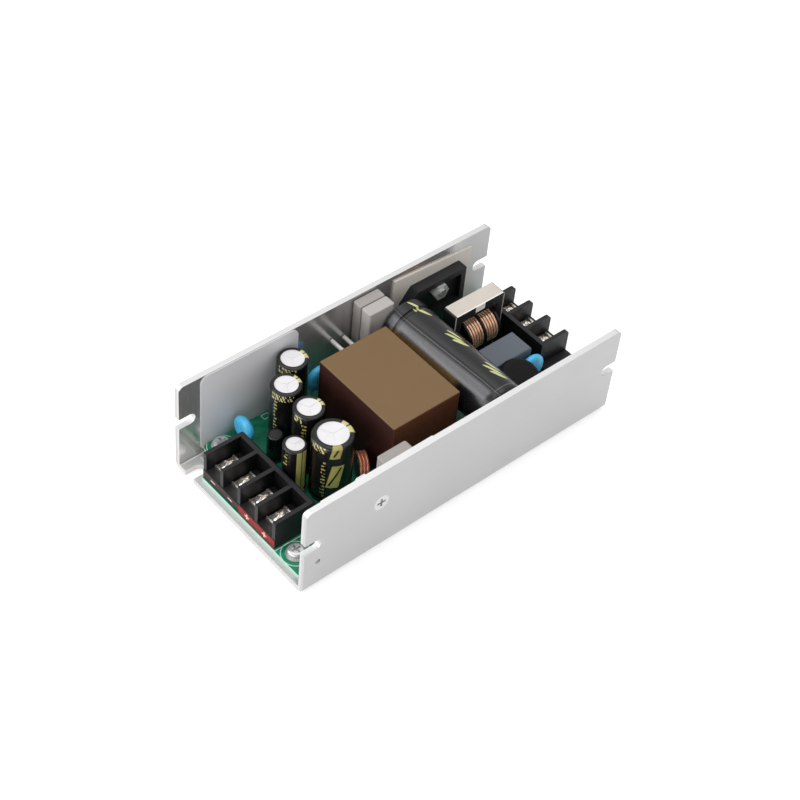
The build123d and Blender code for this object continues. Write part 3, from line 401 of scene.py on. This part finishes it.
def sleeve_material(name, middle, top, rim, dash_arc, small_arcs, blocks=(), stripe=None):
    """A glossy black shrunk sleeve with abstract pale marks.

    rim is the arc of the patch on the rim, and dash_arc that of the row of short strokes under it. small_arcs
    are faint upright rows, and blocks large slanted marks, each as low and high arc, then low and high Z.
    stripe is the arc of one plain upright band.
    """
    shader = Shader(name, Specular_IOR_Level=0.5)
    x, y, z = shader.axes()
    around = shader.angle(shader.minus(y, middle[1] * MM), shader.minus(x, middle[0] * MM))
    flakes = shader.noise(900, 1, 0.5, (1, 1, 0.7))
    torn = shader.step(flakes, 0.47, 0.01)
    ground = shader.mix(shader.noise(200), srgb(13, 12, 12), srgb(20, 18, 17))
    pale = []
    dull = []
    if rim:
        patch = shader.both(shader.arc(around, *rim), shader.step(z, (top - 2.4) * MM, 0.1 * MM))
        split = shader.minus(1.0, shader.arc(around, sum(rim) / 2 + 1, sum(rim) / 2 + 6))
        pale.append(shader.both(patch, split))
    if dash_arc:
        row = shader.both(shader.arc(around, *dash_arc),
                          shader.between(z, (top - 2.9) * MM, (top - 0.5) * MM, 0.1 * MM))
        teeth = shader.math("SINE", shader.math("ADD", shader.times(around, 0.55), shader.times(z, 2600)))
        pale.append(shader.both(row, shader.step(teeth, -0.3, 0.3), shader.step(flakes, 0.46, 0.02)))
    for low_arc, high_arc, low, high in small_arcs:
        row = shader.both(shader.arc(around, low_arc, high_arc),
                          shader.between(z, low * MM, high * MM, 0.1 * MM))
        teeth = shader.math("SINE", shader.times(z, 4200))
        dull.append(shader.both(row, shader.step(teeth, 0.1, 0.4), torn))
    for low_arc, high_arc, low, high in blocks:
        slope = shader.times(shader.minus(z, (low + high) / 2 * MM), 1500)
        turned = shader.minus(around, slope)
        block = shader.both(shader.arc(turned, low_arc, high_arc),
                            shader.between(z, low * MM, high * MM, 0.08 * MM))
        middle_arc = (low_arc + high_arc) / 2
        steep = shader.minus(around, shader.times(slope, 2.6))
        bar = shader.both(shader.arc(steep, middle_arc - 4, middle_arc + 2),
                          shader.between(z, (low + 0.9) * MM, (high - 0.9) * MM, 0.08 * MM))
        dull.append(shader.both(block, shader.minus(1.0, bar)))
    if stripe:
        beside_seam = shader.minus(1.0, shader.line(around, -94, 2, 1))
        below_rim = shader.minus(1.0, shader.step(z, (top - 0.4) * MM, 0.1 * MM))
        dull.append(shader.both(shader.arc(around, *stripe), beside_seam, below_rim))
    colour = ground
    if dull:
        colour = shader.mix(shader.times(shader.cover(*dull), 0.85), colour, dull_yellow)
    if pale:
        colour = shader.mix(shader.cover(*pale), colour, pale_yellow)
    shader.color(colour)
    shader.rough(shader.remap(shader.noise(300), 0.3, 0.7, 0.2, 0.28))
    shader.bump(shader.noise(700, 2), 0.00002)
    return shader.material


# Name, middle, top, arcs of the rim's patch and of the short strokes, faint rows
sleeve_prints = (
    ("output_capacitor_1", (-24.7, 23.8), 31, (-34, 16), (176, 246), ((186, 200, 18, 27),)),
    ("output_capacitor_2", (-33.1, 16.2), 31, (-26, 18), (170, 262), ((186, 200, 10, 27.5),)),
    ("output_capacitor_3", (-33.4, 4.7), 31, (-26, 14), (173, 206), ((206, 224, 14, 28),)),
)
for name, *marks in sleeve_prints:
    assign(can_aluminium, name + "_can")
    assign(sleeve_material(name + "_print", *marks), name + "_sleeve")

assign(can_aluminium, "main_output_capacitor_can", "small_output_capacitor_can", "bulk_capacitor_can")
main_print = sleeve_material("main_print", (-34.3, -8.0), 31, (-32, 22), (166, 216), ((202, 214, 9, 25),),
                             ((226, 254, 26.6, 31.2), (224, 258, 13.6, 23.4)))
assign(main_print, "main_output_capacitor_sleeve")
small_print = sleeve_material("small_print", (-43.1, -1.1), 26, None, None, ((172, 196, 19, 24.5),),
                              stripe=(240, 292))
assign(small_print, "small_output_capacitor_sleeve")
# Painted shade and reflection: the mini capacitor's aluminium top is painted dark grey.
shaded_can_top = mottled("shaded_can_top", srgb(44, 44, 46), srgb(62, 62, 64), 300, 0.4, 2500, 0.00002)
assign(shaded_can_top, "mini_capacitor_can")
assign(sleeve_material("mini_print", (-40.1, 11.9), 17, None, None, ()), "mini_capacitor_sleeve")


# Slanted strokes on the bulk capacitor: angle and y at the start, then at the end
bulk_strokes = (
    (87, 19.8, 68, 14.4), (88, 16.6, 64, 10.7),
    (73, 3.2, 56, -2.4), (84, 2.2, 62, -4.0), (84, -1.4, 60, -6.2),
    (70, -14.2, 54, -19.4), (82, -15.0, 59, -21.2), (82, -18.4, 58, -23.6),
)


def bulk_sleeve_material():
    """Dark sleeve with slanted strokes and a double seam line, past which a painted grey highlight browns off
    into a painted reflection of the transformer; the seam's ridge and the end rim carry painted highlights.
    """
    shader = Shader("bulk_sleeve", Specular_IOR_Level=0.5)
    x, y, z = shader.axes()
    around = shader.angle(shader.minus(z, bulk_axis_z * MM), shader.minus(x, bulk_axis_x * MM))
    strokes = []
    for start_arc, start_y, end_arc, end_y in bulk_strokes:
        share = shader.remap(around, start_arc, end_arc, 0.0, 1.0)
        middle = shader.remap(share, 0.0, 1.0, start_y * MM, end_y * MM)
        off = shader.size(shader.minus(y, middle))
        rest = shader.minus(1.0, share)
        belly = shader.times(shader.times(share, rest), 5.5 * MM)
        strokes.append(shader.step(shader.minus(belly, off), 0.14 * MM, 0.1 * MM))
    edge_arc = shader.remap(y, -20.0 * MM, 12.0 * MM, 108, 117)
    from_edge = shader.minus(around, edge_arc)
    seam = shader.line(shader.size(from_edge), 3.0, 1.3, 0.8)
    # Painted highlights: a light line on the seam's ridge, which the bump below also raises, and a light line
    # along the sleeve's near end rim.
    lit_seam_ridge = shader.line(from_edge, 0.0, 0.7, 0.5)
    lit_end_rim = shader.both(shader.line(y, -25.8 * MM, 0.16 * MM, 0.12 * MM), shader.arc(around, 58, 110, 3))
    along = shader.between(y, -25.0 * MM, 19.4 * MM, 0.6 * MM)
    # Painted highlight: a grey band beside the seam; further round, a painted brown reflection of the
    # transformer's top.
    band = shader.both(shader.arc(from_edge, 7, 29, 3.5), along)
    painted_reflection_band = shader.both(shader.arc(from_edge, 27, 50, 6), shader.between(y, -13.5 * MM, 17 * MM, 1.5 * MM))
    ground = shader.mix(shader.noise(150), srgb(21, 21, 23), srgb(28, 28, 31))
    ground = shader.mix(shader.times(painted_reflection_band, 0.9), ground, srgb(112, 88, 52))
    ground = shader.mix(shader.times(band, 0.85), ground, srgb(112, 112, 115))
    ground = shader.mix(seam, ground, srgb(9, 9, 10))
    ground = shader.mix(shader.cover(lit_seam_ridge, lit_end_rim), ground, srgb(92, 92, 96))
    shader.color(shader.mix(shader.cover(*strokes), ground, srgb(206, 210, 142)))
    shader.rough(shader.remap(shader.noise(500), 0.3, 0.7, 0.24, 0.3))
    shader.bump(shader.minus(lit_seam_ridge, seam), 0.00008)
    shader.bump(shader.noise(700, 2), 0.00001)
    return shader.material


assign(bulk_sleeve_material(), "bulk_capacitor_sleeve")


def transformer_material():
    """Light brown on top, and red-brown on the sides, painted darker as painted shade: the sides facing X
    more than those facing Y, and all sides more towards the bottom.
    """
    shader = Shader("transformer_wrap", Specular_IOR_Level=0.3)
    y_normal, z_normal = shader.normal_axes()[1:]
    z = shader.axes()[2]
    up = shader.step(z_normal, 0.6, 0.15)
    clouds = shader.noise(60, 4)
    top = shader.mix(clouds, srgb(117, 92, 61), srgb(124, 98, 67))
    # Painted shade: the sides facing X are painted darker than those facing Y.
    shaded_side = shader.mix(clouds, srgb(55, 27, 24), srgb(62, 31, 27))
    lit_side = shader.mix(clouds, srgb(90, 50, 30), srgb(100, 56, 34))
    side = shader.mix(shader.step(shader.size(y_normal), 0.6, 0.15), shaded_side, lit_side)
    # Painted shade: the sides darken towards the bottom.
    shade_by_height = shader.remap(z, 9 * MM, 33 * MM, 0.7, 1.0)
    side = shader.mix(shade_by_height, srgb(34, 18, 15), side)
    shader.color(shader.mix(up, side, top))
    shader.rough(shader.remap(shader.noise(400), 0.3, 0.7, 0.5, 0.6))
    shader.bump(shader.noise(900, 2), 0.00002)
    return shader.material


assign(transformer_material(), "transformer")


def ferrite_material():
    """Black ferrite with painted highlights on the upright corners of the choke's near side, in their upper
    part.
    """
    shader = Shader("ferrite", Specular_IOR_Level=0.4)
    x, y, z = shader.axes()
    ground = shader.mix(shader.noise(500), srgb(24, 24, 25), srgb(32, 32, 33))
    near = shader.minus(1.0, shader.step(y, 7.62 * MM, 0.06 * MM))
    # Painted highlight: thin light lines on the core's near upright corners, high up.
    corner = shader.cover(shader.line(x, 28.95 * MM, 0.22 * MM, 0.08 * MM),
                          shader.line(x, 49.95 * MM, 0.2 * MM, 0.08 * MM))
    high = shader.both(shader.step(z, 16 * MM, 2 * MM), shader.both(near, corner))
    shader.color(shader.mix(high, ground, srgb(190, 184, 176)))
    shader.rough(shader.remap(shader.noise(900), 0.3, 0.7, 0.4, 0.5))
    shader.bump(shader.noise(2500, 2), 0.00004)
    return shader.material


assign(ferrite_material(), "choke_core", "output_inductor_core")


def tape_material():
    """Beige tape, with painted highlights where it bends over the core's near edges."""
    shader = Shader("beige_tape")
    x, y = shader.axes()[:2]
    # Painted highlight: light lines along the tape's left and near edges.
    tape_edge_highlight = shader.cover(shader.line(x, 28.8 * MM, 0.5 * MM, 0.15 * MM),
                        shader.line(y, 7.5 * MM, 0.35 * MM, 0.12 * MM))
    ground = shader.mix(shader.noise(300), srgb(203, 194, 184), srgb(214, 205, 195))
    shader.color(shader.mix(tape_edge_highlight, ground, srgb(250, 247, 242)))
    shader.rough(shader.remap(shader.noise(900), 0.3, 0.7, 0.35, 0.45))
    shader.bump(shader.noise(2500, 2), 0.00002)
    return shader.material


assign(tape_material(), "choke_tape")


wire_pitch = 1.1


def wire_material(name, dark, light, metallic, first=None):
    """Enamelled wire; where first is given, the grooves of turns that start there along X are painted dark,
    as painted shade.
    """
    shader = Shader(name, Metallic=metallic)
    colour = shader.mix(shader.noise(500, 2), dark, light)
    if first is not None:
        turns = shader.math("DIVIDE", shader.minus(shader.axes()[0], first * MM), wire_pitch * MM)
        off = shader.size(shader.minus(shader.math("FRACT", turns), 0.5))
        # Painted shade: the grooves between the turns are painted dark.
        colour = shader.mix(shader.step(off, 0.39, 0.05), colour, srgb(30, 12, 8))
    shader.color(colour)
    shader.rough(shader.remap(shader.noise(1200), 0.3, 0.7, 0.2, 0.3))
    shader.bump(shader.noise(2500, 2), 0.00001)
    return shader.material


# The two halves of the choke, by the X where their turns start
for side, first in (("left", 34.7), ("right", 41.0)):
    copper = wire_material("copper_" + side, srgb(255, 186, 146), srgb(255, 218, 186), 0.55, first)
    assign(copper, "choke_winding_" + side)
assign(wire_material("red_copper", srgb(196, 118, 92), srgb(226, 152, 124), 0.5), "output_inductor_winding")

# Name, dark, light, scale of the clouds, roughness, scale and depth of the grain, nodes
plain_finishes = (
    ("bung", (24, 24, 24), (32, 32, 32), 300, 0.6, 2500, 0.00003, ("bulk_capacitor_bung",)),
    ("white_sleeving", (246, 246, 243), (255, 255, 252), 300, 0.3, 1500, 0.00001, ("transformer_leads",)),
    ("box_grey", (90, 97, 107), (99, 106, 116), 120, 0.4, 2500, 0.00002, ("filter_capacitor",)),
    ("grey_sheet", (222, 222, 224), (230, 230, 232), 60, 0.38, 1800, 0.00001,
     ("far_wall_sheet", "near_wall_sheet")),
    ("beige_pad", (222, 215, 206), (234, 227, 218), 120, 0.6, 2200, 0.00004, ("bridge_rectifier_pad",)),
    ("silicone_grey", (172, 167, 163), (184, 179, 175), 120, 0.55, 1800, 0.00004, ("device_cap_2",)),
    # A darker copy of the grey silicone, for the first and third device caps.
    ("silicone_darker", (152, 147, 143), (166, 161, 157), 900, 0.55, 1800, 0.00004,
     ("device_cap_1", "device_cap_3")),
)
for name, dark, light, *finish, nodes in plain_finishes:
    assign(mottled(name, srgb(*dark), srgb(*light), *finish), *nodes)

assign(mottled("disc_black", srgb(13, 13, 14), srgb(18, 18, 19), 250, 0.6, 1800, 0.00004,
               Specular_IOR_Level=0.2), "thermistor")
assign(mottled("rectifier_black", srgb(26, 26, 28), srgb(34, 34, 36), 350, 0.45, 3000, 0.00004,
               Specular_IOR_Level=0.4), "bridge_rectifier")
disc_blue = mottled("disc_blue", srgb(66, 186, 240), srgb(96, 208, 255), 250, 0.28, 1200, 0.00004)


# Pieces with finer shapes than the solids that they stand for

def add_piece(name, shape, material, replaced=None):
    mesh = bpy.data.meshes.new(name)
    bmesh.ops.recalc_face_normals(shape, faces=shape.faces)
    shape.to_mesh(mesh)
    shape.free()
    mesh.materials.append(material)
    piece = bpy.data.objects.new(name, mesh)
    bpy.context.collection.objects.link(piece)
    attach(piece, "root")
    if replaced:
        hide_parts(replaced)


def lathe(shape, profile, segments, turn):
    """Turn (radius, height) pairs, which start and end on the axis, into a closed solid, placed by turn."""
    rings = []
    for radius, height in profile:
        count = 1 if radius == 0 else segments
        ring = []
        for step in range(count):
            angle = 2 * pi * step / segments
            spot = Vector((radius * cos(angle) * MM, radius * sin(angle) * MM, height * MM))
            ring.append(shape.verts.new(turn @ spot))
        rings.append(ring)
    for low, high in zip(rings, rings[1:]):
        for step in range(segments):
            after = (step + 1) % segments
            corners = [low[step % len(low)], low[after % len(low)],
                       high[after % len(high)], high[step % len(high)]]
            face = shape.faces.new(list(dict.fromkeys(corners)))
            face.smooth = True


screw_head_height = 1.9
screw_head_radius = 2.6
screw_shank_radius = 1.5
crown_radius = 3.1
dome_margin = 0.1
dome_steps = 8
slot_length = 3.8
slot_width = 0.82
slot_depth = 1.1


def cross_cutter(length, width, depth, top):
    """A cross of two tapered slots, as one mesh object that cuts a screw's head."""
    shape = bmesh.new()
    for long_x in (True, False):
        corners = []
        for z, share in ((top + 0.4, 1.06), (top - depth, 0.62)):
            for side_x, side_y in ((-1, -1), (1, -1), (1, 1), (-1, 1)):
                reach = length / 2 * (share if share > 1 else 0.8)
                half = width / 2 * share
                x, y = (reach, half) if long_x else (half, reach)
                corners.append(shape.verts.new((side_x * x * MM, side_y * y * MM, z * MM)))
        for face in ((0, 1, 2, 3), (7, 6, 5, 4), (0, 4, 5, 1), (1, 5, 6, 2), (2, 6, 7, 3), (3, 7, 4, 0)):
            shape.faces.new([corners[index] for index in face])
    bmesh.ops.recalc_face_normals(shape, faces=shape.faces)
    mesh = bpy.data.meshes.new("cross_cutter")
    shape.to_mesh(mesh)
    shape.free()
    return bpy.data.objects.new("cross_cutter", mesh)


def screw_mesh(top, bottom):
    """A domed cross-head screw on the Z axis, its slots cut and its edges eased."""
    crown, radius, shank = crown_radius, screw_head_radius, screw_shank_radius
    dome_reach = radius - dome_margin
    rim = sqrt(crown ** 2 - dome_reach ** 2)
    head_bottom = top - screw_head_height
    profile = [(0, top)]
    for step in range(1, dome_steps + 1):
        r = dome_reach * step / dome_steps
        profile.append((r, top - (crown - sqrt(crown ** 2 - r ** 2))))
    profile += [(radius, top - (crown - rim) - 0.12), (radius, head_bottom), (shank, head_bottom),
                (shank, bottom), (0, bottom)]
    shape = bmesh.new()
    lathe(shape, profile, 48, Matrix.Identity(4))
    bmesh.ops.recalc_face_normals(shape, faces=shape.faces)
    mesh = bpy.data.meshes.new("screw_blank")
    shape.to_mesh(mesh)
    shape.free()
    blank = bpy.data.objects.new("screw_blank", mesh)
    cutter = cross_cutter(slot_length, slot_width, slot_depth, top)
    for part in (blank, cutter):
        bpy.context.collection.objects.link(part)
    cut = blank.modifiers.new("cut", "BOOLEAN")
    cut.object = cutter
    cut.solver = "EXACT"
    cut.use_self = True
    ease = blank.modifiers.new("ease", "BEVEL")
    ease.width = 0.09 * MM
    ease.segments = 2
    ease.limit_method = "ANGLE"
    ease.angle_limit = radians(35)
    ready = bpy.data.meshes.new_from_object(blank.evaluated_get(bpy.context.evaluated_depsgraph_get()))
    for part in (blank, cutter):
        bpy.data.objects.remove(part)
    return ready


def make_screws(node, x, poles, turns):
    """All screws of one terminal block, each turned its own way."""
    heights = [vertex.co.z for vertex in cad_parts[node].data.vertices]
    ready = screw_mesh(max(heights) / MM, min(heights) / MM)
    shape = bmesh.new()
    for y, turn in zip(poles, turns):
        before = len(shape.verts)
        shape.from_mesh(ready)
        shape.verts.ensure_lookup_table()
        place = Matrix.Translation((x * MM, y * MM, 0)) @ Matrix.Rotation(radians(turn), 4, "Z")
        bmesh.ops.transform(shape, matrix=place, verts=shape.verts[before:])
    add_piece(node + "_domed", shape, screw_nickel, node)


screw_nickel = brushed_metal("screw_nickel", srgb(248, 240, 232), srgb(255, 252, 246), 0.13, "x", 0.85)
make_screws("output_block_screws", output_screws_x, output_poles, (28, 12, 35, 20))
make_screws("input_block_screws", input_screws_x, input_poles, (15, 38, 24))


disc_half_depth = 1.6
disc_steps = 16
disc_lead_offset = 2.5
# The drop of coating on a lead, as pairs of radius and height
coating_drop = ((0, 0.6), (1.0, 0.5), (0.85, 0.0), (0.55, -0.5), (0.42, -0.95), (0, -1.0))


def make_disc(node, centre, radius, faces_x):
    """A dipped ceramic disc: full in the middle, with drops of coating that run down its leads."""
    half = disc_half_depth
    profile = [(0, half)]
    for step in range(1, disc_steps):
        share = sin(pi / 2 * step / disc_steps)
        profile.append((radius * share, half * (1 - share ** 5) ** 0.5))
    profile.append((radius, 0.0))
    profile += [(r, -h) for r, h in reversed(profile[:-1])]
    tip = Matrix.Rotation(radians(90), 4, "Y" if faces_x else "X")
    shape = bmesh.new()
    lathe(shape, profile, 56, Matrix.Translation([value * MM for value in centre]) @ tip)
    for side in (-disc_lead_offset, disc_lead_offset):
        rim = centre[2] - sqrt(radius ** 2 - disc_lead_offset ** 2)
        spot = (centre[0], centre[1] + side, rim) if faces_x else (centre[0] + side, centre[1], rim)
        lathe(shape, coating_drop, 20, Matrix.Translation([value * MM for value in spot]))
    add_piece(node + "_dipped", shape, disc_blue, node)


make_disc("y_capacitor_1", (-43.3, 23.4, 11.2), 4.4, True)
make_disc("y_capacitor_2", (-14.6, 22.6, 17.0), 4.8, False)
make_disc("y_capacitor_3", (44.9, -13.2, 15.4), 5.0, False)


# The film's turned-up lips, which close the gap under both ends of the board

lip_corner = (-60.0, -26.0)
lip_corner_radius = 2.95
lip_end_y = 18.4
lip_thickness = 0.15
lip_low = 2.05
lip_high = 4.35
lip_steps = 8


def make_lip(name, turn):
    """A thin upright strip along the board's end and round its corner.

    turn is 1 at the output end and -1 at the input end, where the same strip stands half a turn round.
    """
    centre_x, centre_y = lip_corner
    path = []
    for step in range(lip_steps + 1):
        angle = radians(270 - 90 * step / lip_steps)
        path.append((centre_x, centre_y, cos(angle), sin(angle)))
    path.append((centre_x, lip_end_y, -1.0, 0.0))
    corners = []
    for x, y, out_x, out_y in path:
        for reach in (lip_corner_radius, lip_corner_radius - lip_thickness):
            for z in (lip_low, lip_high):
                corners.append((turn * (x + out_x * reach) * MM, turn * (y + out_y * reach) * MM, z * MM))
    faces = []
    for step in range(len(path) - 1):
        a = 4 * step
        b = a + 4
        faces += [(a, b, b + 1, a + 1), (a + 3, b + 3, b + 2, a + 2),
                  (a + 1, b + 1, b + 3, a + 3), (a + 2, b + 2, b, a)]
    last = 4 * (len(path) - 1)
    faces += [(0, 1, 3, 2), (last + 2, last + 3, last + 1, last)]
    shape = bmesh.new()
    verts = [shape.verts.new(corner) for corner in corners]
    for face in faces:
        shape.faces.new([verts[index] for index in face])
    add_piece(name, shape, shaded_film_lip)


# Painted shade: the lips are a darker copy of the film, for the gap under the board.
shaded_film_lip = mottled("shaded_film_lip", srgb(160, 168, 164), srgb(172, 178, 175), 90, 0.4, 2000, 0.00001)
make_lip("film_lip_output", 1)
make_lip("film_lip_input", -1)


# Floor, world, lamps and camera

floor_size = 6.0
floor_level = -0.0002
floor_glow = 0.45
world_to_camera = 1.0
world_to_rest = 0.65


def make_floor():
    bpy.ops.mesh.primitive_plane_add(size=floor_size, location=(0, 0, floor_level))
    floor = bpy.context.object
    floor.name = "studio_floor"
    shader = Shader("floor_paper", Roughness=0.9)
    shader.color(shader.mix(shader.noise(3), (0.78, 0.78, 0.78), (0.8, 0.8, 0.8)))
    output = shader.tree.nodes["Material Output"]
    path = shader.node("ShaderNodeLightPath").outputs
    seen = shader.math("MAXIMUM", path["Is Camera Ray"], path["Is Glossy Ray"])
    seen = shader.math("MAXIMUM", seen, path["Is Transmission Ray"])
    glow = shader.node("ShaderNodeEmission", {"Strength": shader.times(seen, floor_glow)})
    both = shader.node("ShaderNodeAddShader")
    shader.feed(both.inputs[0], shader.principled.outputs[0])
    shader.feed(both.inputs[1], glow.outputs[0])
    shader.feed(output.inputs["Surface"], both.outputs[0])
    floor.data.materials.append(shader.material)


def make_world():
    world = bpy.data.worlds.new("studio")
    bpy.context.scene.world = world
    world.use_nodes = True
    tree = world.node_tree
    background = tree.nodes["Background"]
    background.inputs["Color"].default_value = (1, 1, 1, 1)
    path = tree.nodes.new("ShaderNodeLightPath")
    strength = tree.nodes.new("ShaderNodeMapRange")
    strength.inputs["To Min"].default_value = world_to_rest
    strength.inputs["To Max"].default_value = world_to_camera
    tree.links.new(path.outputs["Is Camera Ray"], strength.inputs["Value"])
    tree.links.new(strength.outputs["Result"], background.inputs["Strength"])


def add_softbox(name, place, target, size, power):
    data = bpy.data.lights.new(name, "AREA")
    data.shape = "RECTANGLE"
    data.size = size[0]
    data.size_y = size[1]
    data.energy = power
    lamp = bpy.data.objects.new(name, data)
    bpy.context.collection.objects.link(lamp)
    lamp.location = place
    lamp.rotation_euler = (Vector(target) - Vector(place)).to_track_quat("-Z", "Y").to_euler()


def make_camera():
    data = bpy.data.cameras.new("photo_camera")
    data.lens = lens_mm
    data.sensor_width = sensor_mm
    data.clip_start = 0.01
    camera = bpy.data.objects.new("photo_camera", data)
    bpy.context.collection.objects.link(camera)
    turn = (
        Matrix.Rotation(radians(camera_heading), 4, "Z")
        @ Matrix.Rotation(radians(camera_tilt), 4, "X")
        @ Matrix.Rotation(radians(camera_roll), 4, "Z")
    )
    camera.matrix_world = Matrix.Translation(camera_place) @ turn
    bpy.context.scene.camera = camera


make_floor()
make_world()
object_middle = (0, 0, 0.015)
terminal_end = (-0.06, 0, 0.01)
# Name, place, target, size in metres, power in watts
softboxes = (
    ("overhead", (0.05, 0.1, 0.9), object_middle, (0.9, 0.9), 3.0),
    ("left_back", (-0.8, 0.35, 0.4), object_middle, (0.8, 0.5), 3.6),
    ("front", (-0.2, -0.8, 0.5), object_middle, (0.7, 0.5), 0.7),
    ("low_left", (-0.7, -0.1, 0.1), terminal_end, (0.6, 0.16), 0.8),
)
for softbox in softboxes:
    add_softbox(*softbox)
make_camera()

bpy.context.scene.view_settings.view_transform = "Standard"
